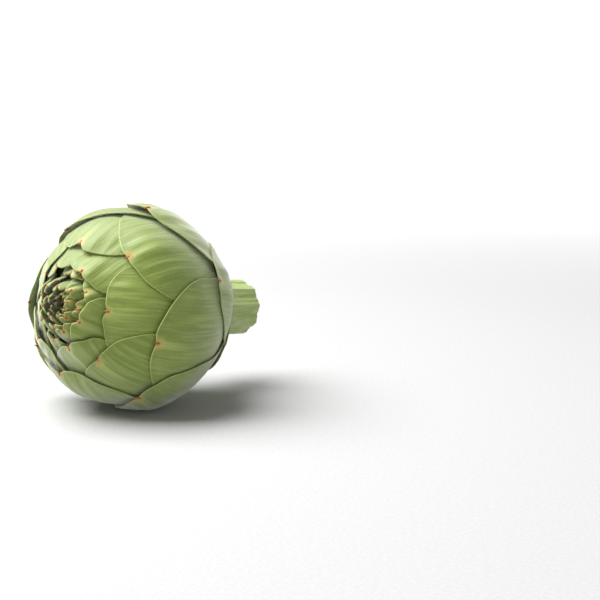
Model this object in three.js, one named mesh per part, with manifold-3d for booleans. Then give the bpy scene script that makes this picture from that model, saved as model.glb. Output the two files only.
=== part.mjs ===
// A whole globe artichoke: a closed flower bud on a short cut stem, lying on its side on a small flat spot.
// Bracts grow round the bud in one spiral, each turned by the golden angle from the one before. They overlap
// like roof shingles, with their roots sunk in the bud and their notched, spiny tips standing proud.
// Millimetres. +Z is up, the bud's tip points to -X and its stem to +X.

import * as THREE from "three";
import { mergeVertices } from "three/addons/utils/BufferGeometryUtils.js";
import Module from "manifold-3d";

// The bud's core: two half eggs that meet at the widest ring, where the bud's own frame has its origin.
const CORE_RADIUS = 32.4;
const CORE_BELOW = 31;
const CORE_ABOVE = 33.5;
const BELOW_FULLNESS = 0.86;
const NECK_RADIUS = 12.5;

// The stem stub.
const STEM_RADIUS = 10.2;
const STEM_LENGTH = 27;
const STEM_RIBS = 9;
const STEM_RIB_HEIGHT = 0.45;
const CUT_BEVEL = 0.6;
const STEM_GAP = 0.3;

// How the bud lies.
const AXIS_TILT = THREE.MathUtils.degToRad(7);
const AXIS_HEIGHT = 36.1;

// The spiral of bracts, from the lowest at the stem to the last in the crown. Each is turned by the golden
// angle from the one before, and its tip lies nearer to the crown by a constant share.
const GOLDEN_ANGLE = 137.508;
const FIRST_BRACT = -8;
const LAST_BRACT = 34;
const START_AZIMUTH = 343.5;
const START_TIP_ANGLE = 76;
const TIP_ANGLE_STEPS = 12;

// One bract: its size at the start of the spiral, and how fast the next ones get smaller.
const HALF_WIDTH = 24;
const HALF_WIDTH_STEPS = 40;
const LENGTH = 44;
const LENGTH_STEPS = 26;
const RISE = 6;
const BLADE = 1.1;
const CROWN_LIFT = 1.6;
const TIP_ARCH = 0.85;
const NOTCH = 1.8;
const ROOT_WIDTH = 0.6;
const ROOT_DEPTH = 1.5;
const LARGE_GRID = {
  across: [-1, -0.92, -0.75, -0.5, -0.2, 0, 0.2, 0.5, 0.75, 0.92, 1],
  along: [0, 0.4, 0.65, 0.85, 1],
};
const SMALL_GRID = { across: [-1, -0.85, -0.35, 0, 0.35, 0.85, 1], along: [0, 0.6, 1] };

// Where single bracts stray from the rule: degrees round the bud, degrees from the crown, millimetres of lift,
// and degrees that the tip leans to one side.
const STRAYS = {
  "-6": [-6, 2, 0.2, 0],
  "-5": [0, 0, 0.5, 0],
  "-3": [0, 8, 0, 0],
  "-2": [0, 0, 0.6, 0],
  "-1": [-8, -14, 0.8, 16],
  0: [2, 0, 0.6, 0],
  1: [0, -8, 2.8, 0],
  2: [-2, -3, 0.4, 0],
  3: [-2, 3, 0.2, 0],
  4: [-3, -15, 1, 0],
  5: [2, 1, 0, 0],
  6: [4, -1, 0.6, 0],
  7: [2, -4, 0.9, 0],
  8: [-13, 1, 0, 0],
  9: [-6, -8, 1.2, 0],
  10: [-4, 2, 0.2, 0],
  12: [10, -5, 0.8, 10],
  13: [-4, 0, 0.6, 0],
  14: [0, 0, 0.4, 0],
  15: [8, 0, 0.1, 0],
  16: [0, 0, 0.8, 0],
  17: [0, 0, 0.6, 0],
  18: [0, 0, 0.6, 0],
  19: [0, 0, 0.4, 0],
  20: [0, -3, 0.7, 0],
  21: [2, 3, -0.3, 0],
};

// The core's outline from neck to crown, measured along itself.
const NECK_ANGLE = Math.asin((NECK_RADIUS / CORE_RADIUS) ** (1 / BELOW_FULLNESS));
const OUTLINE_STEPS = 400;
const outline = [];
for (let k = 0, run = 0; k <= OUTLINE_STEPS; k++) {
  const angle = NECK_ANGLE + ((Math.PI - NECK_ANGLE) * k) / OUTLINE_STEPS;
  const fullness = angle < Math.PI / 2 ? BELOW_FULLNESS : 1;
  const r = CORE_RADIUS * Math.max(0, Math.sin(angle)) ** fullness;
  const z = -(angle < Math.PI / 2 ? CORE_BELOW : CORE_ABOVE) * Math.cos(angle);
  if (k) run += Math.hypot(r - outline[k - 1].r, z - outline[k - 1].z);
  outline.push({ angle, r, z, run });
}
const OUTLINE_LENGTH = outline[OUTLINE_STEPS].run;

// The point of the outline that lies `run` along it, with its outward normal.
function outlineAt(run) {
  const inside = Math.min(Math.max(run, 0), OUTLINE_LENGTH * 0.9999);
  const k = Math.max(1, outline.findIndex((p) => p.run >= inside));
  const [a, b] = [outline[k - 1], outline[k]];
  const share = (inside - a.run) / (b.run - a.run);
  const step = b.run - a.run;
  return {
    r: a.r + (b.r - a.r) * share,
    z: a.z + (b.z - a.z) * share,
    normalR: (b.z - a.z) / step,
    normalZ: -(b.r - a.r) / step,
  };
}

// The run along the outline of the ring that lies so many degrees short of the crown's pole.
function runAt(degrees) {
  const wanted = Math.max(NECK_ANGLE, Math.PI - THREE.MathUtils.degToRad(degrees));
  return outline.find((p) => p.angle >= wanted - 1e-9).run;
}

// A point over the core: azimuth round the axis, run along the outline, height above the surface.
function over(azimuth, run, height) {
  const p = outlineAt(run);
  const r = Math.max(0, p.r + height * p.normalR);
  const z = p.z + height * p.normalZ;
  return new THREE.Vector3(r * Math.cos(azimuth), r * Math.sin(azimuth), z);
}

const smooth = (from, to, x) => THREE.MathUtils.smoothstep(x, from, to);

// A closed thin solid over a grid: an outer and an inner face with the same corners, and a wall round the rim.
function sheet(across, along, outer, inner) {
  const nu = across.length;
  const nv = along.length;
  const corners = [];
  for (const face of [outer, inner]) {
    for (const v of along) {
      for (const u of across) corners.push(...face(u, v).toArray());
    }
  }
  const at = (face, i, j) => face * nu * nv + j * nu + i;
  const triangles = [];
  const quad = (a, b, c, d) => triangles.push(a, b, c, a, c, d);
  for (let j = 0; j < nv - 1; j++) {
    for (let i = 0; i < nu - 1; i++) {
      quad(at(0, i, j), at(0, i + 1, j), at(0, i + 1, j + 1), at(0, i, j + 1));
      triangles.push(at(1, i, j), at(1, i + 1, j + 1), at(1, i + 1, j));
      triangles.push(at(1, i, j), at(1, i, j + 1), at(1, i + 1, j + 1));
    }
  }
  for (let i = 0; i < nu - 1; i++) {
    quad(at(1, i, 0), at(1, i + 1, 0), at(0, i + 1, 0), at(0, i, 0));
    quad(at(0, i, nv - 1), at(0, i + 1, nv - 1), at(1, i + 1, nv - 1), at(1, i, nv - 1));
  }
  for (let j = 0; j < nv - 1; j++) {
    quad(at(0, 0, j), at(0, 0, j + 1), at(1, 0, j + 1), at(1, 0, j));
    quad(at(1, nu - 1, j), at(1, nu - 1, j + 1), at(0, nu - 1, j + 1), at(0, nu - 1, j));
  }
  const geometry = new THREE.BufferGeometry();
  geometry.setAttribute("position", new THREE.Float32BufferAttribute(corners, 3));
  geometry.setIndex(triangles);
  return geometry;
}

// The numbers of one bract, from its place in the spiral.
function bractAt(index) {
  const [turn, drop, lift, lean] = STRAYS[index] ?? [0, 0, 0, 0];
  const inward = Math.max(0, index);
  const outward = Math.max(0, -index);
  const tip = runAt(START_TIP_ANGLE * Math.exp(-index / TIP_ANGLE_STEPS) + drop);
  const length = Math.min(tip, LENGTH * Math.exp(-inward / LENGTH_STEPS));
  return {
    azimuth: THREE.MathUtils.degToRad(START_AZIMUTH + GOLDEN_ANGLE * index + turn),
    root: tip - length,
    tip,
    length,
    halfWidth: HALF_WIDTH * Math.exp(-inward / HALF_WIDTH_STEPS) * (1 - 0.6 * smooth(1, 8, outward)),
    lean: THREE.MathUtils.degToRad(lean),
    rise: RISE * Math.min(1, 0.35 + length / 50),
    lift: 0.5 + lift + CROWN_LIFT * smooth(12, 32, index),
  };
}

// A bract is as wide as the bud allows, with an arched tip that has a shallow notch in its middle. Its outer
// face climbs from the root, which lies under the core's skin, and its rim is a thin blade. Behind the rim it is
// solid down to the core, so that no hollow is closed in between two bracts.
function bractGeometry(bract) {
  const { across, along } = bract.halfWidth < 14.5 ? SMALL_GRID : LARGE_GRID;
  const arch = TIP_ARCH * Math.min(bract.halfWidth, bract.length);
  const notch = NOTCH * (bract.halfWidth / HALF_WIDTH);
  const reachOf = (u, v) => {
    const shoulder = arch * (1 - Math.sqrt(1 - u * u)) + (u === 0 ? notch : 0);
    return v * (1 - shoulder / bract.length);
  };
  const place = (u, v, height) => {
    const reach = reachOf(u, v);
    const run = bract.root + bract.length * reach;
    const width = bract.halfWidth * (ROOT_WIDTH + (1 - ROOT_WIDTH) * Math.min(1, v / 0.4));
    const turn = bract.lean * reach ** 2 + (u * width) / Math.hypot(outlineAt(run).r, 8);
    return over(bract.azimuth + turn, run, height);
  };
  const outerHeight = (u, v) => bract.rise * reachOf(u, v) + bract.lift * smooth(0.6, 1, v) - 0.2;
  const onRim = (u, v) => Math.abs(u) === 1 || v === 1;
  return sheet(
    across,
    along,
    (u, v) => place(u, v, outerHeight(u, v)),
    (u, v) => place(u, v, onRim(u, v) ? outerHeight(u, v) - BLADE : -ROOT_DEPTH),
  );
}

// The solid inside the bracts, with a flat neck where the stem begins.
function coreGeometry() {
  const profile = [new THREE.Vector2(0, outline[0].z)];
  const rings = 18;
  for (let k = 0; k < rings; k++) {
    const p = outlineAt((OUTLINE_LENGTH * k) / rings);
    profile.push(new THREE.Vector2(p.r, p.z));
  }
  profile.push(new THREE.Vector2(0, CORE_ABOVE));
  return new THREE.LatheGeometry(profile, 32).rotateX(Math.PI / 2);
}

// The stem: wider towards the bud, cut square at its end, with ribs along its length.
function stemGeometry() {
  const top = outline[0].z - STEM_GAP;
  const end = top - STEM_LENGTH;
  const flare = NECK_RADIUS - 0.8 - STEM_RADIUS;
  const profile = [new THREE.Vector2(0, end), new THREE.Vector2(STEM_RADIUS - CUT_BEVEL, end)];
  for (const share of [0.03, 0.3, 0.6, 0.82, 1]) {
    profile.push(new THREE.Vector2(STEM_RADIUS + flare * share ** 3, end + STEM_LENGTH * share));
  }
  profile.push(new THREE.Vector2(0, top));
  const geometry = new THREE.LatheGeometry(profile, STEM_RIBS * 4).rotateX(Math.PI / 2);
  const corner = geometry.attributes.position;
  for (let i = 0; i < corner.count; i++) {
    const [x, y] = [corner.getX(i), corner.getY(i)];
    const r = Math.hypot(x, y);
    if (r < 1) continue;
    const rib = 1 + (STEM_RIB_HEIGHT * Math.cos(STEM_RIBS * Math.atan2(y, x))) / r;
    corner.setXY(i, x * rib, y * rib);
  }
  return geometry;
}

const wasm = await Module();
wasm.setup();

function solidOf(geometry) {
  const bare = geometry.clone();
  bare.deleteAttribute("normal");
  bare.deleteAttribute("uv");
  const merged = mergeVertices(bare, 1e-4);
  return new wasm.Manifold(
    new wasm.Mesh({
      numProp: 3,
      vertProperties: merged.attributes.position.array,
      triVerts: new Uint32Array(merged.index.array),
    }),
  );
}

function geometryOf(solid) {
  const mesh = solid.getMesh();
  const corners = new Float32Array(mesh.numVert * 3);
  for (let i = 0; i < mesh.numVert; i++) {
    corners.set(mesh.vertProperties.subarray(i * mesh.numProp, i * mesh.numProp + 3), i * 3);
  }
  const geometry = new THREE.BufferGeometry();
  geometry.setAttribute("position", new THREE.BufferAttribute(corners, 3));
  geometry.setIndex(new THREE.BufferAttribute(new Uint32Array(mesh.triVerts), 1));
  geometry.computeVertexNormals();
  return geometry;
}

// The largest body of a joined solid, with the hollows that the joining sealed filled in.
function wholeBody(solid) {
  return solid.decompose().reduce((a, b) => (b.volume() > a.volume() ? b : a));
}

// The bud's own frame set down on the surface: its axis nearly level, its tip towards -X.
const laid = new THREE.Matrix4().makeBasis(
  new THREE.Vector3(Math.sin(AXIS_TILT), 0, Math.cos(AXIS_TILT)),
  new THREE.Vector3(0, 1, 0),
  new THREE.Vector3(-Math.cos(AXIS_TILT), 0, Math.sin(AXIS_TILT)),
);
laid.setPosition(0, 0, AXIS_HEIGHT);

let bud = solidOf(coreGeometry().applyMatrix4(laid));
for (let index = LAST_BRACT; index >= FIRST_BRACT; index--) {
  bud = bud.add(solidOf(bractGeometry(bractAt(index)).applyMatrix4(laid)));
}
const above = new THREE.BoxGeometry(400, 400, 200).translate(0, 0, 100);
const budGeometry = geometryOf(wholeBody(bud.intersect(solidOf(above))));
const stem = stemGeometry().applyMatrix4(laid);

const artichoke = new THREE.Group();
const green = new THREE.MeshStandardMaterial({ color: 0x84974f, roughness: 0.6, metalness: 0 });
const paleGreen = new THREE.MeshStandardMaterial({ color: 0xa3b573, roughness: 0.65, metalness: 0 });
const budMesh = new THREE.Mesh(budGeometry, green);
budMesh.name = "bud";
const stemMesh = new THREE.Mesh(stem, paleGreen);
stemMesh.name = "stem";
artichoke.add(budMesh, stemMesh);

// The origin goes to the bottom centre of the whole.
const box = new THREE.Box3().setFromObject(artichoke);
for (const mesh of [budMesh, stemMesh]) {
  mesh.geometry.translate(-(box.min.x + box.max.x) / 2, -(box.min.y + box.max.y) / 2, 0);
}

export default artichoke;
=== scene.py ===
# %% [markdown]
# # A globe artichoke lying on its side
#
# The object is a whole artichoke: a closed flower bud on a short cut stem. Its scales, called bracts, grow
# round the bud in one spiral and overlap like roof shingles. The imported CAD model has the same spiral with
# coarse faces. This script dresses it: every bract is computed again on a fine grid, laid snugly on the
# bracts under it, and given the skin of the real plant. Lengths are in millimetres until a mesh is made.

# %% Load the frame
import math

import bpy
import numpy as np
from mathutils import Matrix, Vector


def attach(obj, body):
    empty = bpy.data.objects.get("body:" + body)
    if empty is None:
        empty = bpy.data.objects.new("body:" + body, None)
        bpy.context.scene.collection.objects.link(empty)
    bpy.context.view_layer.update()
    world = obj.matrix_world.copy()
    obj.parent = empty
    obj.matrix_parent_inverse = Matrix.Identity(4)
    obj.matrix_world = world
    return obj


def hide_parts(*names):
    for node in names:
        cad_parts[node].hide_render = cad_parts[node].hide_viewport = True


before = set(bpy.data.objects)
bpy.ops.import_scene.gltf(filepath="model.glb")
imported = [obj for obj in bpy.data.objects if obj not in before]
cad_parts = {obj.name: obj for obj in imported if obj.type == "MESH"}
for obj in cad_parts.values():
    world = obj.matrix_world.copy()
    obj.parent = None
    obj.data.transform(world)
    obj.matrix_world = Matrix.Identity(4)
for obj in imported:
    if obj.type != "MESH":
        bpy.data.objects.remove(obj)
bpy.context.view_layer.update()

MM = 0.001

# %% [markdown]
# ## The camera
#
# The picture is a product photograph taken with a long lens, a little above the table, looking at the bud's
# left side and crown. A long lens keeps the far side nearly as large as the near side. The camera is placed
# from the bud's centre: so far to the right and up in the picture, and so far back along the line of sight.

# %% Camera
BUD_CENTRE = np.array([-9.0088, -1.5479, 36.1])
VIEW_AZIMUTH = math.radians(311.9)
VIEW_ELEVATION = math.radians(9.7)
CAMERA_RIGHT, CAMERA_UP, CAMERA_BACK = 60.92, 2.936, 550.5
LENS_MM, SENSOR_MM = 90, 36
NEAREST, FURTHEST = 0.01, 20  # metres that the camera sees

back = Vector((
    math.sin(VIEW_AZIMUTH) * math.cos(VIEW_ELEVATION),
    -math.cos(VIEW_AZIMUTH) * math.cos(VIEW_ELEVATION),
    math.sin(VIEW_ELEVATION),
))
right = Vector((math.cos(VIEW_AZIMUTH), math.sin(VIEW_AZIMUTH), 0))
up = back.cross(right)
camera = bpy.data.objects.new("camera", bpy.data.cameras.new("camera"))
camera.data.lens = LENS_MM
camera.data.sensor_width = SENSOR_MM
camera.data.clip_start, camera.data.clip_end = NEAREST, FURTHEST
camera.matrix_world = Matrix.Translation(
    (Vector(BUD_CENTRE) + right * CAMERA_RIGHT + up * CAMERA_UP + back * CAMERA_BACK) * MM
) @ Matrix((right, up, back)).transposed().to_4x4()
bpy.context.scene.collection.objects.link(camera)
bpy.context.scene.camera = camera
print("camera at", [round(c, 3) for c in camera.location])

# %% [markdown]
# ## The bud's core
#
# Under the bracts the bud is an egg: one half egg below its widest ring and another above it. Every bract
# is described on this egg by three numbers: the azimuth round the axis, the run along the outline from the
# neck towards the crown, and the height above the surface. The egg stands upright in its own frame, with
# the crown at the top, and is laid on its side at the very end.

# %% The core's outline
CORE_RADIUS, CORE_BELOW, CORE_ABOVE = 32.4, 31.0, 33.5
BELOW_FULLNESS = 0.86  # 1 is a round half egg, less is fuller
NECK_RADIUS = 12.5
AXIS_TILT = math.radians(7)


def core_outline(steps=1600):
    """Radius is CORE_RADIUS times the sine of the angle from the neck end, to a power below the widest ring.
    Height is minus the half egg's length times the cosine. Run is the summed length of the steps."""
    neck = math.asin((NECK_RADIUS / CORE_RADIUS) ** (1 / BELOW_FULLNESS))
    angle = np.linspace(neck, math.pi, steps + 1)
    below = angle < math.pi / 2
    r = CORE_RADIUS * np.clip(np.sin(angle), 0, None) ** np.where(below, BELOW_FULLNESS, 1.0)
    z = -np.where(below, CORE_BELOW, CORE_ABOVE) * np.cos(angle)
    run = np.concatenate([[0], np.cumsum(np.hypot(np.diff(r), np.diff(z)))])
    return angle, r, z, run


ANGLE, CORE_R, CORE_Z, RUN = core_outline()
NORMAL_R, NORMAL_Z = np.gradient(CORE_Z, RUN), -np.gradient(CORE_R, RUN)
OUTLINE_LENGTH = RUN[-1]


def over_core(azimuth, run, height):
    """The core's point at that azimuth and run, moved out by height along the surface's normal."""
    r = np.interp(run, RUN, CORE_R) + height * np.interp(run, RUN, NORMAL_R)
    z = np.interp(run, RUN, CORE_Z) + height * np.interp(run, RUN, NORMAL_Z)
    r = np.maximum(r, 0)
    return np.stack([r * np.cos(azimuth), r * np.sin(azimuth), z], -1)


def laid(points):
    """Turns the upright frame on its side, crown towards -X and a little up, and moves it to its place."""
    s, c = math.sin(AXIS_TILT), math.cos(AXIS_TILT)
    return points @ np.array([[s, 0, c], [0, 1, 0], [-c, 0, s]]) + BUD_CENTRE


def smooth(start, end, x):
    """0 before start, 1 after end, and an S-shaped curve between them."""
    t = np.clip((x - start) / (end - start), 0, 1)
    return t * t * (3 - 2 * t)


CROWN_SINK, SUNK_WITHIN = 4.0, 6
PLUMP, PLUMP_BEYOND = 1.2, 40  # snug bracts sink together, so away from the crown the pile starts higher


def plump(run):
    """How far the pile is raised as a whole: minus CROWN_SINK at the crown's pole, rising to PLUMP."""
    return (PLUMP + CROWN_SINK) * smooth(SUNK_WITHIN, PLUMP_BEYOND, OUTLINE_LENGTH - run) - CROWN_SINK


print("outline length in mm:", round(OUTLINE_LENGTH, 1))

# %% [markdown]
# ## The spiral of bracts
#
# Each bract is turned from the one before by the golden angle, 137.5 degrees, which is how most plants
# space their leaves, because no two then stand straight above each other. The distance of the tip from the
# crown shrinks by a constant share from one to the next. A real bud strays from the rule a little, so a
# short table turns, drops, lifts or leans single bracts, and says how far an edge gapes from the bract
# under it.

# %% The rule and its strays
GOLDEN_ANGLE = 137.508
FIRST_BRACT, LAST_BRACT = -8, 46
START_AZIMUTH, START_TIP_ANGLE, TIP_ANGLE_STEPS = 343.5, 76, 12
HALF_WIDTH, HALF_WIDTH_STEPS = 24, 40
LENGTH, LENGTH_STEPS = 44, 26
RISE, LEAST_RISE, RISE_LENGTH = 6, 0.35, 50
ALL_LIFT, CROWN_LIFT = 0.5, 4.2
CROWN_FROM, CROWN_FULL = 9, 22  # from this bract on they change to the crown's kind, until that one
LIFT_FROM, LIFT_FULL = 18, 38
STRAYS = {  # bract: (turn in degrees, drop in degrees, lift in mm, lean in degrees)
    -6: (-6, 2, 0.2, 0), -5: (0, 0, 0.5, 0), -3: (0, 8, 0, 0), -2: (0, 0, 0.6, 0),
    -1: (-8, -14, 0.8, 16), 0: (1, 1, 0.6, 0), 1: (0, -8, 2.8, 0), 2: (-4, -3, 0.4, 0),
    3: (-25, -1, 0.4, 19), 4: (-1.5, -17, 1, 0), 5: (5.5, 1, 0, 0), 6: (4, -1, 0.6, 0),
    7: (-4, -5.3, 0.9, 0), 8: (-8, -3, 0, 0), 9: (-6, -8, 1.2, 0), 10: (-8, -3.4, 0.2, 0),
    12: (4, -7, 0.8, 6), 13: (0, -4.5, 0.6, 0), 14: (0, 0, 0.4, 0), 15: (1, -7, 0.1, 0),
    16: (0, 0, 0.8, 0), 17: (0, 0, 0.6, 0), 18: (0, 0, 0.6, 0), 19: (0, 0, 0.4, 0),
    20: (0, -3, 0, 0), 21: (2, 3, -0.3, 0),
}
# The next five tables give single bracts a number in mm, and the line after each gives what the others have.
GAPES = {-1: 0.6, 0: 1.0, 1: 1.6, 3: 0.9, 4: 0.5, 6: 1.0, 9: 0.8}  # gap along the whole rim
TIGHT_GAP, CROWN_GAP = 0.1, 0.3
CURLS = {0: 1.0, 1: 1.0, 4: 0.9, 6: 1.2, 8: 1.3, 9: 1.3, 12: 1.0, 13: 1.1, 16: 1.8, 20: 0.8}  # at the notch
TIGHT_CURL, CROWN_CURL = 0.25, 1.2
NOTCHES = {3: 1.4, 4: 1.5, 6: 1.6, 8: 2.6, 9: 1.8, 10: 1.9, 12: 1.6, 13: 1.8, 16: 2.6}  # depth
NOTCH_DEPTH, CROWN_NOTCH = 0.9, 1.3
NOTCH_PLACES = {0: -1.0, 3: 2.0, 8: 0.5}  # to the side
NOTCH_STRAY = 1.2
WIDER = {0: -2.5, 3: 7.5}  # on either side
NECK_NARROWING, CROWN_NARROWING = 0.6, 0.42  # shares of the width
BLADE, CROWN_BLADE = 0.45, 0.8
SEED = 1000


def bract_numbers(index):
    """One bract's place and size, from its number in the spiral."""
    turn, drop, lift, lean = STRAYS.get(index, (0, 0, 0, 0))
    rng = np.random.default_rng(SEED + index)
    degrees = START_TIP_ANGLE * math.exp(-index / TIP_ANGLE_STEPS) + drop
    tip = np.interp(max(ANGLE[0], math.pi - math.radians(degrees)), ANGLE, RUN)
    inward, outward = max(0, index), max(0, -index)
    length = min(tip, LENGTH * math.exp(-inward / LENGTH_STEPS))
    crown = float(smooth(CROWN_FROM, CROWN_FULL, index))
    neck = float(smooth(1, -FIRST_BRACT, outward))
    half_width = HALF_WIDTH * math.exp(-inward / HALF_WIDTH_STEPS) * (1 - NECK_NARROWING * neck)
    half_width = half_width * (1 - CROWN_NARROWING * crown) + WIDER.get(index, 0)
    share = half_width / HALF_WIDTH
    return {
        "index": index,
        "azimuth": math.radians(START_AZIMUTH + GOLDEN_ANGLE * index + turn),
        "root": tip - length,
        "length": length,
        "half_width": half_width,
        "size": 0.4 + 0.6 * share,  # how large its small forms are next to those of a full bract
        "lean": math.radians(lean),
        "rise": RISE * min(1, LEAST_RISE + length / RISE_LENGTH),
        "lift": ALL_LIFT + lift + CROWN_LIFT * float(smooth(LIFT_FROM, LIFT_FULL, index)),
        "gap": GAPES.get(index, TIGHT_GAP + CROWN_GAP * crown * (0.3 + 0.7 * rng.random())),
        "curl": CURLS.get(index, TIGHT_CURL + CROWN_CURL * crown * (0.5 + 0.5 * rng.random())),
        "blade": BLADE + (CROWN_BLADE - BLADE) * crown,
        "crown": crown,
        "notch": NOTCHES.get(index, NOTCH_DEPTH + CROWN_NOTCH * crown) * (0.5 + 0.5 * share),
        "notch_at": NOTCH_PLACES.get(index, rng.uniform(-NOTCH_STRAY, NOTCH_STRAY) * share),
        "waves": rng.uniform(0, 2 * math.pi, 6),
        "tone": rng.uniform(-1, 1),
    }


print("bracts:", LAST_BRACT - FIRST_BRACT + 1)

# %% [markdown]
# ## The outline of one bract
#
# Seen flat, a bract is a strip with parallel sides and an arched tip. The tip has a shallow notch with a
# round lobe on either side, and a small thorn stands in the notch. The rim isn't ruled: it wanders by some
# tenths of a millimetre. The grid's two parameters are u, across from -1 to 1, and v, along from root to
# rim.

# %% Outline functions
ROOT_WIDTH, FULL_WIDTH_AT = 0.6, 0.4
CROWN_PULL = (1.6, -3.4)  # mm on the flat map
PULL_FULL, PULL_END = 4, 26  # mm from the pole
NOTCH_HALF_WIDTH, NOTCH_POWER = 2.2, 1.5
TIP_ARCH, TIP_POINT = 0.85, 1.7  # 2 is an ellipse, less is more pointed
LOBE_SPAN = np.linspace(-0.6, 0.6, 121)
NEAR_POLE_MM = 8.0  # keeps a width in mm from becoming a whole turn at the pole


def rim_shortfall(b, u):
    """How many mm the rim stays back at u: a slightly pointed arch, the notch and some waves, added up."""
    x = u * b["half_width"]
    rest = np.clip(1 - np.abs(u) ** TIP_POINT, 0, 1) ** (1 / TIP_POINT)
    arch = TIP_ARCH * min(b["half_width"], b["length"]) * (1 - rest)
    from_notch = np.abs(x - b["notch_at"]) / (NOTCH_HALF_WIDTH * b["size"])
    notch = b["notch"] * np.exp(-(from_notch**NOTCH_POWER))
    long_wave, short_wave, crown_wave = (
        mm * np.sin(x / per_turn + shift)
        for mm, per_turn, shift in zip((0.2, 0.12, 0.25 * b["crown"]), (2.6, 1.5, 0.8), b["waves"][:3])
    )
    return arch + notch + long_wave + short_wave + crown_wave


def rim_reach(b, u):
    """The rim's place at u as a share of the length, so that the longer lobe ends at one."""
    return 1 - (rim_shortfall(b, u) - rim_shortfall(b, LOBE_SPAN).min()) / b["length"]


def strip_width(b, v):
    """Half the width at v: narrower at the root, full from two fifths of the way."""
    return b["half_width"] * (ROOT_WIDTH + (1 - ROOT_WIDTH) * np.minimum(1, v / FULL_WIDTH_AT))


def width_circle(run):
    """Radius in mm of the circle that a bract's width is measured on, at that run."""
    return np.hypot(np.interp(run, RUN, CORE_R), NEAR_POLE_MM)


def pull_crown(azimuth, run, sign=1):
    """Moves places near the crown's pole sideways on the flat map, less and less further out, because the
    spiral's middle lies a little off the axis. With sign -1 it finds where a moved place came from."""
    away = OUTLINE_LENGTH - run
    share = sign * smooth(PULL_END, PULL_FULL, away)
    x = away * np.cos(azimuth) + share * CROWN_PULL[0]
    y = away * np.sin(azimuth) + share * CROWN_PULL[1]
    return np.arctan2(y, x), OUTLINE_LENGTH - np.hypot(x, y)


def place_on_core(b, u, v):
    """Azimuth, run and reach of the grid point (u, v)."""
    reach = v * rim_reach(b, u)
    run = b["root"] + b["length"] * reach
    turn = b["lean"] * reach**2 + u * strip_width(b, v) / width_circle(run)
    return *pull_crown(b["azimuth"] + turn, run), reach


def find_on_bract(b, azimuth, run):
    """The way back: u and v of a place on the core, by three rounds of guessing the width from v."""
    azimuth, run = pull_crown(azimuth, run, -1)
    reach = (run - b["root"]) / b["length"]
    turn = azimuth - b["azimuth"] - b["lean"] * reach**2
    turn = (turn + math.pi) % (2 * math.pi) - math.pi
    v = reach
    for _ in range(3):
        u = turn * width_circle(run) / strip_width(b, np.clip(v, 0, 1))
        v = reach / rim_reach(b, np.clip(u, -1, 1))
    return u, v


def grid_lines(across, along):
    """Grid lines that crowd towards the rims: u is a sine, and v slows down like a power of the rest."""
    s = np.linspace(-1, 1, across)
    u = np.sin(math.pi / 2 * (0.55 * s + 0.45 * s**3))
    t = np.linspace(0, 1, along)
    return u, 1 - (1 - t) ** 1.6


full = bract_numbers(2)
print("bract 2 in mm:", round(full["length"], 1), "long,", round(2 * full["half_width"], 1), "wide")

# %% [markdown]
# ## Laying the bracts on each other
#
# A bract isn't pushed into its neighbours: its middle is stiff, and its rim lies on what is under it. So
# the bracts are computed from the innermost outwards, and a flat map of the bud keeps the height of the
# pile so far. The map is drawn as a globe is drawn round its pole: the crown is in the middle, the azimuth
# stays an angle, and the distance from the pole stays a length. A blurred copy of the map is what the next
# bract rests on, since a thick leaf bridges small steps.

# %% The map of heights
MAP_STEP, MAP_MARGIN = 0.35, 4
BRIDGE_MM, BLUR_MM = 0.7, 1.0  # a bract bridges dents so narrow, and smooths steps so short
MAP_HALF = OUTLINE_LENGTH + MAP_MARGIN
MAP_SIZE = int(2 * MAP_HALF / MAP_STEP) + 1
map_line = np.arange(MAP_SIZE) * MAP_STEP - MAP_HALF
MAP_X, MAP_Y = np.meshgrid(map_line, map_line, indexing="ij")
MAP_AZIMUTH = np.arctan2(MAP_Y, MAP_X)
MAP_RUN = OUTLINE_LENGTH - np.hypot(MAP_X, MAP_Y)


def read_map(heights, azimuth, run):
    """The map's value at a place on the core, mixed from the four nearest cells."""
    away = OUTLINE_LENGTH - run
    x = np.clip((away * np.cos(azimuth) + MAP_HALF) / MAP_STEP, 0, MAP_SIZE - 1.001)
    y = np.clip((away * np.sin(azimuth) + MAP_HALF) / MAP_STEP, 0, MAP_SIZE - 1.001)
    i, j = x.astype(int), y.astype(int)
    a, b = x - i, y - j
    near = heights[i, j] * (1 - b) + heights[i, j + 1] * b
    far = heights[i + 1, j] * (1 - b) + heights[i + 1, j + 1] * b
    return near * (1 - a) + far * a


def blur(heights, radius):
    """A bell-shaped blur of that radius in mm, done by multiplying the map's spectrum with a bell."""
    frequency = np.fft.fftfreq(MAP_SIZE, MAP_STEP)
    square = frequency[:, None] ** 2 + frequency[None, : MAP_SIZE // 2 + 1] ** 2
    bell = np.exp(-2 * (math.pi * radius) ** 2 * square)
    return np.fft.irfft2(np.fft.rfft2(heights) * bell, s=heights.shape)


def spread(heights, radius):
    """Each cell takes the highest value within that many mm along the rows, then along the columns."""
    cells = int(round(radius / MAP_STEP))
    for axis in (0, 1):
        heights = np.max([np.roll(heights, k, axis) for k in range(-cells, cells + 1)], axis=0)
    return heights


print("map cells:", MAP_SIZE, "x", MAP_SIZE)

# %% [markdown]
# ## Bending a bract's rim
#
# The outer face climbs from the root to the tip. Near its rim it is bent down or up until it lies a hair
# above the bracts under it. Each grid point takes the bend of the rim points near it, the nearest ones
# most, and the bend fades out towards the stiff middle. This could be simulated as cloth, but a leaf hardly
# folds, and a sum over the rim gives the same picture each time.

# %% Bend of the rim
BEND_REACH, BEND_SPREAD = 8.0, 3.0  # mm that a bend reaches inwards, and that it is evened along the rim
MOST_DROP, CROWN_STIFFNESS = 3.0, 0.8
CURL_HALF_WIDTH = 4.0
RIM_STARTS = 0.25  # share of the length, because the root is hidden
NEAREST_MM2, NEAREST_POWER = 1.5, 1.5


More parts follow.
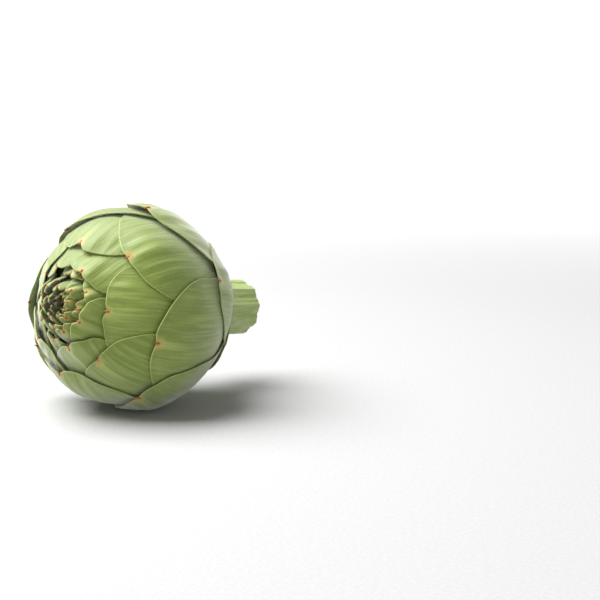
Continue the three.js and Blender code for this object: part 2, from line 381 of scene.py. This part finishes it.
def rim_points(u, v, x, y):
    """The grid points on both long sides and along the tip, in order along the rim."""
    side = np.nonzero((v > RIM_STARTS) & (v < 1))[0]
    rows = np.concatenate([side, np.full(len(u), len(v) - 1), side[::-1]])
    columns = np.concatenate([np.zeros(len(side), int), np.arange(len(u)), np.full(len(side), len(u) - 1)])
    return rows, columns, x[rows, columns], y[rows, columns]


def rim_bend(b, u, v, x, y, missing):
    """Bend and distance from the rim at each grid point, and the mean bend. At the rim, the bend is what is
    missing up to the support, plus blade, gap and curl, evened by a bell along the rim. Inside, it is the
    mean of the rim's bends, weighted by one over a power of the distance, times a bell of the distance."""
    rows, columns, rim_x, rim_y = rim_points(u, v, x, y)
    apart = (x[..., None] - rim_x) ** 2 + (y[..., None] - rim_y) ** 2
    rim_mm = np.sqrt(apart.min(-1))
    at_tip = rows == len(v) - 1
    curl = b["curl"] * np.exp(-(((rim_x - b["notch_at"]) / (CURL_HALF_WIDTH * b["size"])) ** 2)) * at_tip
    wanted = missing[rows, columns] + b["blade"] + b["gap"] + curl
    wanted = np.maximum(wanted, -MOST_DROP * (1 - CROWN_STIFFNESS * b["crown"]))
    along_rim = np.concatenate([[0], np.cumsum(np.hypot(np.diff(rim_x), np.diff(rim_y)))])
    bell = np.exp(-(((along_rim[:, None] - along_rim) / (BEND_SPREAD * b["size"])) ** 2))
    wanted = bell @ wanted / bell.sum(1)
    weight = 1 / (apart + NEAREST_MM2) ** NEAREST_POWER
    fade = np.exp(-((rim_mm / (BEND_REACH * b["size"])) ** 2))
    return (weight @ wanted) / weight.sum(-1) * fade, rim_mm, float(np.mean(wanted))


print("rim bends down by at most", MOST_DROP, "mm")

# %% [markdown]
# ## The small forms of a bract
#
# Small forms come on top: a low keel behind the thorn, two puffed lobes beside the notch, and shallow
# lengthwise folds. The face keeps clear of the bracts under it, by a smooth maximum of both heights. The
# blade is thin at the rim and fleshy in the middle, and its edge is rounded like the edge of a real leaf.

# %% Heights of one bract
FLESH, FLESH_FROM_RIM = 1.9, 6
KEEL_HEIGHT, KEEL_HALF_WIDTH, KEEL_START, KEEL_END = 0.55, 4.5, 34, 4  # mm, the last two behind the tip
LOBE_HEIGHT, CROWN_LOBE = 0.35, 0.6
LOBE_AT, LOBE_HALF_WIDTH, LOBE_START, LOBE_END = 5, 3, 14, 3
LIFT_FROM_SHARE, ROOT_SINK = 0.6, 0.2
CLEARANCE, SOFTNESS, THINNEST = 0.05, 0.5, 0.45
EDGE_SHARE = 0.62  # of the blade's thickness, over which its edge is rounded


def small_forms(b, x, y, reach, rim_mm, from_notch, behind):
    """Keel, lobes and folds: bells across times smooth steps along, and sines across that wander along."""
    size = b["size"]
    keel = np.exp(-((from_notch / (KEEL_HALF_WIDTH * size)) ** 2))
    keel = KEEL_HEIGHT * keel * smooth(KEEL_START * size, KEEL_END, behind)
    lobe = np.exp(-(((np.abs(from_notch) - LOBE_AT * size) / (LOBE_HALF_WIDTH * size)) ** 2))
    lobes = (LOBE_HEIGHT + CROWN_LOBE * b["crown"]) * lobe * smooth(LOBE_START * size, LOBE_END, behind)
    wander, shift, fine_shift = b["waves"][3:]
    folds = 0.16 * np.sin(x / 1.6 + 1.5 * np.sin(y / 9 + wander) + shift)
    folds = folds + 0.12 * np.sin(x / 0.75 + fine_shift)
    folds = folds * smooth(0.3, 0.9, reach) * smooth(0, 3, rim_mm) * (1 + b["crown"])
    return size * (keel + lobes) + folds


def bract_heights(b, pile, u, v):
    """Outer and inner heights of the grid, with what the materials need. The outer face is the plain climb,
    the bend and the small forms, kept above the pile. The inner face lies a thickness under it."""
    U, V = np.meshgrid(u, v)
    azimuth, run, reach = place_on_core(b, U, V)
    x, y = U * b["half_width"], reach * b["length"]
    plain = b["rise"] * reach + b["lift"] * smooth(LIFT_FROM_SHARE, 1, V) + plump(run) - ROOT_SINK
    support = read_map(pile, azimuth, run)
    bend, rim_mm, mean_bend = rim_bend(b, u, v, x, y, support - plain)
    from_notch, behind = x - b["notch_at"], b["length"] - y
    outer = plain + bend + small_forms(b, x, y, reach, rim_mm, from_notch, behind)

    clear = support + b["blade"] + CLEARANCE
    outer = 0.5 * (outer + clear + np.sqrt((outer - clear) ** 2 + SOFTNESS**2)) - 0.1 * SOFTNESS
    thick = b["blade"] + (FLESH - b["blade"]) * smooth(0, FLESH_FROM_RIM, rim_mm)
    thick = np.minimum(thick, np.maximum(outer - support - 0.03, THINNEST))
    edge = np.clip(1 - rim_mm / (EDGE_SHARE * b["blade"]), 0, 1)
    rounding = 0.5 * thick * (1 - np.sqrt(1 - edge**2))
    return {
        "azimuth": azimuth,
        "run": run,
        "top": outer,
        "outer": outer - rounding,
        "inner": outer - thick + rounding,
        "x": x,
        "y": y,
        "rim_mm": rim_mm,
        "tip_mm": np.hypot(from_notch, behind - b["notch"]) / b["size"],
        "bend": mean_bend,
    }


print("blades in mm:", BLADE, "at the rim,", FLESH, "in the middle")

# %% [markdown]
# ## From heights to a mesh
#
# Outer and inner face are two grids that share their border, so every bract is a closed shell without a
# seam. Where the bud rests, the lowest bracts are pressed flat: heights near the table are squeezed
# smoothly so that none gets below it. Each point carries a few numbers for the materials, such as how far
# it is from the rim.

# %% Meshes
PRESS = 2.6  # per mm: how sharply the bottom flattens


def press_flat(points):
    """Heights above the table stay, and lower ones are squeezed to just above zero by a soft-plus curve."""
    z = points[..., 2]
    points[..., 2] = np.logaddexp(0, PRESS * z) / PRESS
    return points


def shell_faces(rows, columns):
    """Quads of the outer grid, and of an inner grid that shares the outer one's border and faces the other
    way. Also gives which outer grid points the inner grid's own points stand for."""
    outer = np.arange(rows * columns).reshape(rows, columns)
    inner = outer.copy()
    own = (rows - 2, columns - 2)
    inner[1:-1, 1:-1] = rows * columns + np.arange(own[0] * own[1]).reshape(own)
    quads = []
    for grid, order in ((outer, (0, 1, 2, 3)), (inner, (3, 2, 1, 0))):
        corners = np.stack([grid[:-1, :-1], grid[:-1, 1:], grid[1:, 1:], grid[1:, :-1]], -1).reshape(-1, 4)
        quads.append(corners[:, order])
    return np.concatenate(quads), outer[1:-1, 1:-1].ravel()


def make_piece(name, points, faces, numbers, node):
    """A mesh object from points in mm and faces, with one number a point for each named attribute. It rides
    on the root body, and that CAD node is hidden."""
    mesh = bpy.data.meshes.new(name)
    mesh.from_pydata((points * MM).tolist(), [], faces)
    for key, values in numbers.items():
        kind = "FLOAT_VECTOR" if values.ndim == 2 else "FLOAT"
        layer = mesh.attributes.new(key, kind, "POINT")
        layer.data.foreach_set("vector" if values.ndim == 2 else "value", values.astype(np.float32).ravel())
    mesh.polygons.foreach_set("use_smooth", np.ones(len(mesh.polygons), bool))
    mesh.validate()
    piece = bpy.data.objects.new(name, mesh)
    bpy.context.scene.collection.objects.link(piece)
    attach(piece, "root")
    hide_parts(node)
    print(name, "triangles:", sum(len(face.vertices) - 2 for face in mesh.polygons))
    return piece


# %% [markdown]
# ## Growing the bud
#
# A real bud grows from the inside, and so does this one: the youngest bract in the crown first, the oldest
# at the neck last. After each bract the map of heights is raised to its outer face, so the next one lies on
# it. The bracts are kept in four pieces, with a finer grid for the larger ones. The columns and rows crowd
# towards the rims, where a bract bends most and where the eye looks for its edge.

# %% Grow the bud
GROUPS = {  # piece: (first bract, last bract, grid lines across, grid lines along)
    "bracts_at_neck": (FIRST_BRACT, -1, 85, 39),
    "bracts_large": (0, 11, 91, 43),
    "bracts_small": (12, 23, 73, 33),
    "bracts_crown": (24, LAST_BRACT, 49, 27),
}
PATTERN_SHIFT = 37.0  # from one bract's pattern to the next one's, so that no two have the same veins


def outer_and_inner(values, inner_of):
    """A grid's values for the outer face, followed by those for the inner face's own points."""
    return np.concatenate([values.ravel(), values.ravel()[inner_of]])


def raise_pile(b, top, u, v):
    """Lifts the map's cells under a bract to its outer face: the grid's heights, mixed from the nearest
    four."""
    cell_u, cell_v = find_on_bract(b, MAP_AZIMUTH, MAP_RUN)
    under = (np.abs(cell_u) <= 1) & (cell_v >= 0) & (cell_v <= 1)
    row = np.interp(cell_v[under], v, np.arange(len(v)))
    column = np.interp(cell_u[under], u, np.arange(len(u)))
    i, j = np.minimum(row.astype(int), len(v) - 2), np.minimum(column.astype(int), len(u) - 2)
    a, c = row - i, column - j
    near = top[i, j] * (1 - c) + top[i, j + 1] * c
    far = top[i + 1, j] * (1 - c) + top[i + 1, j + 1] * c
    pile[under] = np.maximum(pile[under], near * (1 - a) + far * a)


def bract_mesh_data(b, h, inner_of):
    """Points of one bract's shell where it lies in the end, and its numbers for the materials."""
    outer, inner = (over_core(h["azimuth"], h["run"], h[face]).reshape(-1, 3) for face in ("outer", "inner"))
    points = np.concatenate([outer, inner[inner_of]])
    count = len(points)
    across, along = outer_and_inner(h["x"], inner_of), outer_and_inner(h["y"], inner_of)
    return press_flat(laid(points)), {
        "blade_mm": np.stack([across, along, np.full(count, PATTERN_SHIFT * b["index"])], -1),
        "rim_mm": outer_and_inner(h["rim_mm"], inner_of),
        "tip_mm": outer_and_inner(h["tip_mm"], inner_of),
        "tone": np.full(count, b["tone"]),
        "crown": np.full(count, b["crown"]),
        "inside": np.concatenate([np.zeros(h["x"].size), np.ones(len(inner_of))]),
    }


pile = plump(MAP_RUN)
grown, tips = {}, []
for group, (first, last, across, along) in reversed(GROUPS.items()):
    u, v = grid_lines(across, along)
    faces, inner_of = shell_faces(along, across)
    shells = []
    for index in range(last, first - 1, -1):
        b = bract_numbers(index)
        h = bract_heights(b, blur(spread(pile, BRIDGE_MM), BLUR_MM), u, v)
        shells.append(bract_mesh_data(b, h, inner_of))
        raise_pile(b, h["top"], u, v)
        tips.append((b, h))
        low, high = shells[-1][0].min(0), shells[-1][0].max(0)
        print(f"bract {index}: rim bent by {h['bend']:.2f} mm, from {low.round(1)} to {high.round(1)}")
    starts = np.cumsum([0] + [len(points) for points, _ in shells])[:-1]
    grown[group] = make_piece(
        group,
        np.concatenate([points for points, _ in shells]),
        np.concatenate([faces + start for start in starts]).tolist(),
        {key: np.concatenate([numbers[key] for _, numbers in shells]) for key in shells[0][1]},
        "bud",
    )

# %% [markdown]
# ## Inside the gaps
#
# Between the bracts one looks into the shaded heart of the bud. A real bud is filled with more and more
# young bracts there, which nobody sees. A plain egg just under the core's surface closes the view instead.
# It is a turned shape: a profile carried round the axis, with a pole at either end. Its dark colour is
# painted shade.

# %% Heart
HEART_INSET = 0.6
HEART_REACH = 0.985  # share of the outline, so that the last ring isn't a point


def ringed_faces(rows, around):
    """Faces of a closed shape of rings: quads between neighbouring rings, and a fan to a pole at either end.
    The poles are the two points after the rings. Faces point outwards where the rings run anticlockwise, seen
    from the last ring's end."""
    ring = np.arange(rows * around).reshape(rows, around)
    beside = np.roll(ring, -1, 1)
    quads = np.stack([ring[:-1], beside[:-1], beside[1:], ring[1:]], -1).reshape(-1, 4)
    bottom = np.stack([beside[0], ring[0], np.full(around, ring.size)], -1)
    top = np.stack([ring[-1], beside[-1], np.full(around, ring.size + 1)], -1)
    return [*quads.tolist(), *bottom.tolist(), *top.tolist()]


def turned(z, r, around):
    """Points of a turned shape. r is a grid of radii, with a row for each z and a column for each azimuth."""
    azimuth = np.arange(around) * 2 * math.pi / around
    rings = np.stack([r * np.cos(azimuth), r * np.sin(azimuth), np.broadcast_to(z[:, None], r.shape)], -1)
    return np.concatenate([rings.reshape(-1, 3), [[0, 0, z[0]], [0, 0, z[-1]]]])


rows, around = 60, 96
core = over_core(0.0, np.linspace(0, OUTLINE_LENGTH * HEART_REACH, rows), -HEART_INSET)
points = turned(core[:, 2], np.repeat(core[:, :1], around, 1), around)
heart = make_piece("heart", laid(points), ringed_faces(rows, around), {}, "bud")

# %% [markdown]
# ## The cut stem
#
# The stem is a thick stalk with low lengthwise ribs, cut straight through with a knife. It flares a little
# where it grows into the bud. It is turned as the heart is, but the radius also changes round the axis,
# which makes the ribs, and its end rings step inwards over a small bevel to the flat cut.

# %% Stem
STEM_RADIUS, STEM_LENGTH, STEM_GAP = 10.2, 27, 0.3
STEM_RIBS, RIB_HEIGHT, RIB_TWIST = 9, 0.45, 0.4
FINE_RIBS, FINE_RIB_HEIGHT = 31, 0.12
CUT_BEVEL, FLARE_POWER, FLARE_PAST_NECK = 0.6, 4, 0.4
around, stem_rows = 216, 60
stem_end = CORE_Z[0] - STEM_GAP - STEM_LENGTH
share = np.concatenate([[0, 0, 0, 0.004, 0.012, 0.024], np.linspace(0.04, 1, stem_rows), [1]])
inward = np.concatenate([[6, 2, CUT_BEVEL, 0.25, 0.06, 0], np.zeros(stem_rows), [4]])
azimuth = np.arange(around) * 2 * math.pi / around
flare = NECK_RADIUS + FLARE_PAST_NECK - STEM_RADIUS
radius = (STEM_RADIUS + flare * share**FLARE_POWER - inward)[:, None]
ribs = RIB_HEIGHT * np.cos(STEM_RIBS * azimuth + RIB_TWIST * np.sin(3 * share[:, None]))
fine = FINE_RIB_HEIGHT * np.cos(FINE_RIBS * azimuth + 2 * np.sin(2 * azimuth))
ribs = ribs + fine * smooth(1, 0, inward[:, None])
radius = radius + ribs * np.clip(radius / STEM_RADIUS, 0, 1)
points = turned(stem_end + STEM_LENGTH * share, radius, around)
numbers = {
    "from_axis_mm": np.hypot(points[:, 0], points[:, 1]),
    "on_cut": smooth(0.3, 0, points[:, 2] - stem_end),
}
stem = make_piece("stem_stub", laid(points), ringed_faces(len(share), around), numbers, "stem")

# %% [markdown]
# ## The thorns
#
# A small dry thorn stands in the notch of every bract. It is the end of the leaf's midrib. Each is a
# slightly raised cone of six rings with eight points, because there are many of them and each is under two
# millimetres long. Its thick end is sunk into the bract.

# %% Thorns
THORN_LENGTH, THORN_RADIUS, THORN_STRAY = 1.5, 0.5, 0.2
THORN_SINK, THORN_RAISE = 0.3, 0.5
RINGS_AT = np.array([-0.9, -0.5, -0.1, 0.3, 0.7, 1.0])[:, None]  # shares of the length, 0 at the bract's rim
RING_SIZES = np.array([0.6, 1.0, 0.95, 0.6, 0.3, 0.06])[:, None]  # shares of the largest radius
RING_POINTS = 8
round_ring = np.arange(RING_POINTS) * 2 * math.pi / RING_POINTS
one_thorn = ringed_faces(len(RINGS_AT), RING_POINTS)
thorn_points, thorn_faces = [], []
for b, h in tips:
    size = (0.55 + 0.45 * b["half_width"] / HALF_WIDTH) * (1 + THORN_STRAY * b["tone"])
    notch_u = b["notch_at"] / b["half_width"]
    rim_run = b["root"] + b["length"] * rim_reach(b, np.array([notch_u]))[0]
    turn = b["lean"] + b["notch_at"] / width_circle(rim_run)
    level = h["top"][-1, np.argmin(np.abs(h["x"][-1] - b["notch_at"]))] - THORN_SINK
    girth = RING_SIZES * THORN_RADIUS * size
    run = rim_run + THORN_LENGTH * size * RINGS_AT + 0 * round_ring
    height = level + THORN_RAISE * size * np.clip(RINGS_AT, 0, 1) ** 2 + girth * np.sin(round_ring)
    side = girth * np.cos(round_ring) / np.hypot(np.interp(run, RUN, CORE_R), 2)
    rings = over_core(*pull_crown(b["azimuth"] + turn - side, run), height)
    poles = rings[[0, -1]].mean(1)
    start = sum(len(points) for points in thorn_points)
    thorn_points.append(press_flat(laid(np.concatenate([rings.reshape(-1, 3), poles]))))
    thorn_faces += [[corner + start for corner in face] for face in one_thorn]
thorns = make_piece("thorns", np.concatenate(thorn_points), thorn_faces, {}, "bud")

# %% [markdown]
# ## Finishes
#
# Colours are written as the sRGB hex values one reads off a screen, and one function turns them to the
# linear values that Blender mixes in. One more adds a node, with its settings and its links. The third
# paints: it lays coats of colour over a base, each where its masks are strong, so that a material reads as
# a list of coats.

# %% Material helpers
SOFT = {"interpolation_type": "SMOOTHSTEP"}
TIMES = {"operation": "MULTIPLY"}
COLOURS = {"data_type": "RGBA"}


def colour(hex_code):
    """sRGB hex to linear: each channel divided by 255, then the standard curve undone."""
    channels = [int(hex_code[k : k + 2], 16) / 255 for k in (1, 3, 5)]
    return [*(c / 12.92 if c <= 0.04045 else ((c + 0.055) / 1.055) ** 2.4 for c in channels), 1.0]


def add(tree, kind, inputs, out=0, **settings):
    """Adds a node of that kind with its settings, fills its inputs by value or by link, and gives an output."""
    made = tree.nodes.new("ShaderNode" + kind)
    for key, value in settings.items():
        setattr(made, key, value)
    for key, value in inputs.items():
        if isinstance(value, bpy.types.NodeSocket):
            tree.links.new(value, made.inputs[key])
        else:
            made.inputs[key].default_value = value
    return made.outputs[out]


def paint(tree, base, coats):
    """Lays coats over a base colour. A coat is a colour and its masks, and a mask is a value whose soft step
    goes from low at start to high at end. A coat's strength is the product of its masks."""
    result = colour(base)
    for over, *masks in coats:
        strength = 1.0
        for value, start, end, low, high in masks:
            step = add(tree, "MapRange", {0: value, 1: start, 2: end, 3: low, 4: high}, **SOFT)
            strength = add(tree, "Math", {0: strength, 1: step}, **TIMES)
        result = add(tree, "Mix", {0: strength, 6: result, 7: colour(over)}, 2, **COLOURS)
    return result


def new_material(name, pieces, **fixed):
    """A material on those pieces. Values that are the same all over are set on the shader itself."""
    material = bpy.data.materials.new(name)
    material.use_nodes = True
    shader = material.node_tree.nodes["Principled BSDF"]
    for key, value in fixed.items():
        shader.inputs[key.replace("_", " ")].default_value = value
    for piece in pieces:
        piece.data.materials.append(material)
    print(name, "on", [piece.name for piece in pieces])
    return material.node_tree, shader.inputs


# %% [markdown]
# ### Waxy bract skin
#
# The skin of a bract is leaf green under a thin pale bloom of wax. The bloom scatters light at low angles,
# so the skin looks matt, paler and greyer towards the bud's outline, and has no sharp highlight. Fine veins
# run lengthwise, closer than a millimetre. The rim is a thin yellow-green line, partly the leaf's own pale
# margin and partly a painted highlight along the edge, dry and brown in places, more so in the crown. Round
# the thorn the skin is tan, and a pale streak runs back from it. The inner face is nearly white.
#
# The patterns follow the leaf and not the room, so they read the attribute that keeps each point's place on
# its bract: millimetres across, millimetres along, and a shift that gives every bract its own piece of
# pattern.

# %% Bract material
PATTERNS_MM = {  # what it draws: (mm across the bract, mm along it, detail of the noise)
    "veins": (0.9, 17, 4),  # bundles; a single vein is a few tenths of a mm, too fine for the picture
    "patches": (11, 29, 2),
    "bloom": (0.45, 0.9, 3),  # the wax is uneven by about half a mm
    "specks": (1.1, 1.1, 2),  # dry spots along the rim
}
BUMP_HEIGHT = 0.25 * MM

# The sheen is the wax bloom: it greys the skin at low angles. Plant wax has an IOR of about 1.45.
tree, skin = new_material(
    "waxy bract skin", grown.values(), IOR=1.45, Specular_IOR_Level=0.5, Sheen_Weight=0.6, Sheen_Roughness=0.5
)
blade = add(tree, "Attribute", {}, "Vector", attribute_name="blade_mm")
rim, tip, tone, crown, inside = (
    add(tree, "Attribute", {}, "Fac", attribute_name=key)
    for key in ("rim_mm", "tip_mm", "tone", "crown", "inside")
)
pattern = {}
for key, (across, along, detail) in PATTERNS_MM.items():
    cells = add(tree, "VectorMath", {0: blade, 1: (1 / across, 1 / along, 1)}, **TIMES)
    noise = {"Vector": cells, "Scale": 1.0, "Detail": detail, "Roughness": 0.6}
    pattern[key] = add(tree, "TexNoise", noise, "Fac")
veins, patches, bloom, specks = pattern.values()
midrib = add(tree, "Math", {0: add(tree, "SeparateXYZ", {0: blade})}, operation="ABSOLUTE")
base = paint(tree, "#708428", [
    ("#627720", (patches, 0.35, 0.65, 0, 0.55)),
    ("#819138", (tone, -1, 1, 0, 0.35)),
    ("#97a752", (veins, 0.46, 0.64, 0, 0.42)),
    ("#566c1a", (veins, 0.48, 0.34, 0, 0.42)),
    ("#9dab6c", (bloom, 0.45, 0.75, 0, 0.2)),
    ("#5f741e", (rim, 2.6, 0.6, 0, 0.25)),
    # Pale rim line: partly the leaf's own pale margin, partly a painted highlight along the edge.
    ("#a5b258", (rim, 0.45, 0.22, 0, 1), (specks, 0.35, 0.6, 0.35, 0.75)),
    ("#a9b466", (tip, 16, 3, 0, 1), (midrib, 1.8, 0.3, 0, 0.4)),
    ("#aba052", (tip, 3.6, 1.2, 0, 1), (specks, 0.3, 0.6, 0.2, 0.7)),
    ("#b0833a", (tip, 1.7, 0.8, 0, 0.9)),
    ("#7a4a2a", (rim, 1.1, 0.2, 0, 1), (specks, 0.5, 0.62, 0, 1), (crown, 0, 1, 0.12, 0.95)),
    ("#c9d09c", (inside, 0, 1, 0, 1), (rim, 0.3, 2, 0, 0.8)),
])
tree.links.new(base, skin["Base Color"])
matt = add(tree, "MapRange", {0: bloom, 1: 0.3, 2: 0.7, 3: 0.44, 4: 0.6}, **SOFT)
tree.links.new(matt, skin["Roughness"])
height = add(tree, "Math", {0: bloom, 1: 0.25, 2: veins}, operation="MULTIPLY_ADD")
raised = add(tree, "Bump", {"Strength": 0.6, "Distance": BUMP_HEIGHT, "Height": height})
tree.links.new(raised, skin["Normal"])
print("skin nodes:", len(tree.nodes))

# %% [markdown]
# ### Heart painted dark as shade
#
# What shows between the bracts is young leaf tissue in deep shade. The shade is painted into its colour: a
# dull dark green, mottled by a few millimetres. It hardly shines, so that a gap reads as depth.

# %% Heart material
HEART_MOTTLE_MM = 3.3
# Rough, and painted dark as shade: it gives the eye depth between the bracts, and no glint.
tree, painted_shade_shader = new_material("heart tissue painted dark as shade", [heart], Roughness=0.7)
coords = add(tree, "TexCoord", {}, "Object")
mottle = add(tree, "TexNoise", {"Vector": coords, "Scale": 1 / (HEART_MOTTLE_MM * MM), "Detail": 3.0}, "Fac")
# Painted shade: dark greens that stand for the shade deep inside the bud.
base = paint(tree, "#39491f", [("#28351a", (mottle, 0.35, 0.65, 0, 1))])
tree.links.new(base, painted_shade_shader["Base Color"])

# %% [markdown]
# ### Dry thorn
#
# The thorns dry first when a bud is cut. Dry plant fibre is brown and matt, with uneven spots of about a
# millimetre.

# %% Thorn material
THORN_SPOT_MM = 1.1
# Dry fibre: a matt brown point that marks where each bract ends.
tree, dry = new_material("dry thorn fibre", [thorns], Roughness=0.6)
coords = add(tree, "TexCoord", {}, "Object")
spots = add(tree, "TexNoise", {"Vector": coords, "Scale": 1 / (THORN_SPOT_MM * MM), "Detail": 3.0}, "Fac")
tree.links.new(paint(tree, "#94692f", [("#6f4f28", (spots, 0.35, 0.65, 0, 1))]), dry["Base Color"])

# %% [markdown]
# ### Ribbed stem skin and its cut
#
# The stalk's skin is paler than the bracts and covered with short felt, so it is matt, with long green
# lines between its ribs. The knife's cut shows a pale fibrous pith, a darker ring where the sap ran, and a
# brown edge where the skin has dried. The rings follow the distance from the stalk's axis, which is an
# attribute.

# %% Stem material
LINE_MM, LINE_LENGTH_MM = 0.7, 17  # lines between the ribs
FELT_MM, FIBRE_MM = 6.3, 1.1  # patches of felt, and fibres of the pith
# The sheen is the short felt, which softens the ribs.
tree, bark = new_material("felted stem skin", [stem], Roughness=0.6, Sheen_Weight=0.15, Sheen_Roughness=0.5)
coords = add(tree, "TexCoord", {}, "Object")
per_metre = (1 / (LINE_LENGTH_MM * MM), 1 / (LINE_MM * MM), 1 / (LINE_MM * MM))
stretched = add(tree, "VectorMath", {0: coords, 1: per_metre}, **TIMES)
lines = add(tree, "TexNoise", {"Vector": stretched, "Scale": 1.0, "Detail": 4.0}, "Fac")
felt = add(tree, "TexNoise", {"Vector": coords, "Scale": 1 / (FELT_MM * MM), "Detail": 4.0}, "Fac")
fibres = add(tree, "TexNoise", {"Vector": coords, "Scale": 1 / (FIBRE_MM * MM), "Detail": 2.0}, "Fac")
from_axis = add(tree, "Attribute", {}, "Fac", attribute_name="from_axis_mm")
cut = (add(tree, "Attribute", {}, "Fac", attribute_name="on_cut"), 0, 1, 0, 1)
base = paint(tree, "#9fb06c", [
    ("#7f9649", (lines, 0.4, 0.7, 0, 0.6)),
    ("#bcc594", (felt, 0.5, 0.7, 0, 0.5)),
    ("#cfc79c", cut),
    ("#a8a06c", cut, (fibres, 0.5, 0.7, 0, 0.6)),
    ("#8d8a52", cut, (from_axis, 6.6, 8.0, 0, 0.75)),
    ("#6b5a36", cut, (from_axis, 8.8, 9.8, 0, 0.9)),
])
tree.links.new(base, bark["Base Color"])
tree.links.new(add(tree, "Bump", {"Strength": 0.5, "Distance": 0.3 * MM, "Height": lines}), bark["Normal"])

# %% [markdown]
# ## The studio
#
# Product photographs of food are taken on a sheet of white paper that curves up behind the table, under one
# large soft light from above. A bowl stands in for the paper here, flat under the object and rising far
# away all round, so that no edge shows from any side. The far paper glows, as if it had lights of its own,
# which keeps the background white and lights the floor next to the object only a little.

# %% Paper
PAPER_FLAT, PAPER_RISE = 1.8, 1.2  # metres: where the bowl starts to rise, and how high it gets
around, curve = 96, np.linspace(0.1, math.pi / 2, 14)
away = np.concatenate([[0.05, 0.3, 0.8, 1.4, PAPER_FLAT], PAPER_FLAT + PAPER_RISE * np.sin(curve)])
rise = np.concatenate([np.zeros(5), PAPER_RISE * (1 - np.cos(curve))])
azimuth = np.arange(around) * 2 * math.pi / around
flat = away[:, None] * np.cos(azimuth), away[:, None] * np.sin(azimuth)
rings = np.stack([*flat, 0 * azimuth + rise[:, None]], -1)
ring = np.arange(len(away) * around).reshape(len(away), around)
beside = np.roll(ring, -1, 1)
quads = np.stack([ring[:-1], ring[1:], beside[1:], beside[:-1]], -1).reshape(-1, 4)
middle = np.stack([ring[0], beside[0], np.full(around, ring.size)], -1)
mesh = bpy.data.meshes.new("paper")
mesh.from_pydata([*rings.reshape(-1, 3).tolist(), [0, 0, 0]], [], [*quads.tolist(), *middle.tolist()])
mesh.polygons.foreach_set("use_smooth", np.ones(len(mesh.polygons), bool))
paper = bpy.data.objects.new("paper", mesh)
bpy.context.scene.collection.objects.link(paper)
print("paper faces:", len(mesh.polygons))

# %% [markdown]
# ### Matt paper
#
# Uncoated paper scatters light evenly. Its fibres give a grain of about a millimetre that is only just
# lighter and darker. It is a light grey here, under a stronger light, so that it throws less light back up
# at the bud.

# %% Paper material
GRAIN_MM = 1.25
GLOW_FROM, GLOW_FULL, GLOW = 0.25, 1.1, 0.9  # metres from the middle, and the strength
DIM_FROM, DIM_FULL, DIM = 0.45, 0.8, 0.2  # metres up the bowl, and the share that is left
# Matt: no glint of the lamp, only the soft shadow shows.
tree, white = new_material("matt paper", [paper], Roughness=0.9, Specular_IOR_Level=0.1)
coords = add(tree, "TexCoord", {}, "Object")
grain = add(tree, "TexNoise", {"Vector": coords, "Scale": 1 / (GRAIN_MM * MM), "Detail": 2.0}, "Fac")
tree.links.new(paint(tree, "#b9b9b9", [("#b4b4b4", (grain, 0.3, 0.7, 0, 1))]), white["Base Color"])
far = add(tree, "VectorMath", {0: coords}, "Value", operation="LENGTH")
high = add(tree, "SeparateXYZ", {0: coords}, 2)
far_glow = add(tree, "MapRange", {0: far, 1: GLOW_FROM, 2: GLOW_FULL, 4: GLOW}, **SOFT)
low_glow = add(tree, "MapRange", {0: high, 1: DIM_FROM, 2: DIM_FULL, 3: 1.0, 4: DIM}, **SOFT)
tree.links.new(add(tree, "Math", {0: far_glow, 1: low_glow}, **TIMES), white["Emission Strength"])
white["Emission Color"].default_value = (1, 1, 1, 1)

# %% [markdown]
# ### Light
#
# One large square lamp hangs above the bud, at the picture's left, so that the top is bright, the side
# towards the camera falls off softly, and the shadow lies at the right. The white world fills the shadows.
# The picture is shown with Blender's plain Standard view, because the filmic one turns white paper grey.

# %% Light and world
bpy.context.scene.view_settings.view_transform = "Standard"
LAMP_PLACE, LAMP_TARGET = (-0.30, 0.42, 0.98), (0, 0, 0.03)
LAMP_SIZE, LAMP_WATTS = 1.0, 34
SKY_STRENGTH = 0.23

lamp = bpy.data.objects.new("top_light", bpy.data.lights.new("top_light", "AREA"))
lamp.data.shape, lamp.data.size, lamp.data.energy = "SQUARE", LAMP_SIZE, LAMP_WATTS
lamp.location = LAMP_PLACE
lamp.rotation_mode = "QUATERNION"
lamp.rotation_quaternion = (Vector(LAMP_PLACE) - Vector(LAMP_TARGET)).to_track_quat("Z", "Y")
bpy.context.scene.collection.objects.link(lamp)

world = bpy.data.worlds.new("studio")
bpy.context.scene.world = world
world.use_nodes = True
world.node_tree.nodes["Background"].inputs["Color"].default_value = (1, 1, 1, 1)
world.node_tree.nodes["Background"].inputs["Strength"].default_value = SKY_STRENGTH
print("lamp", LAMP_WATTS, "W, sky", SKY_STRENGTH)
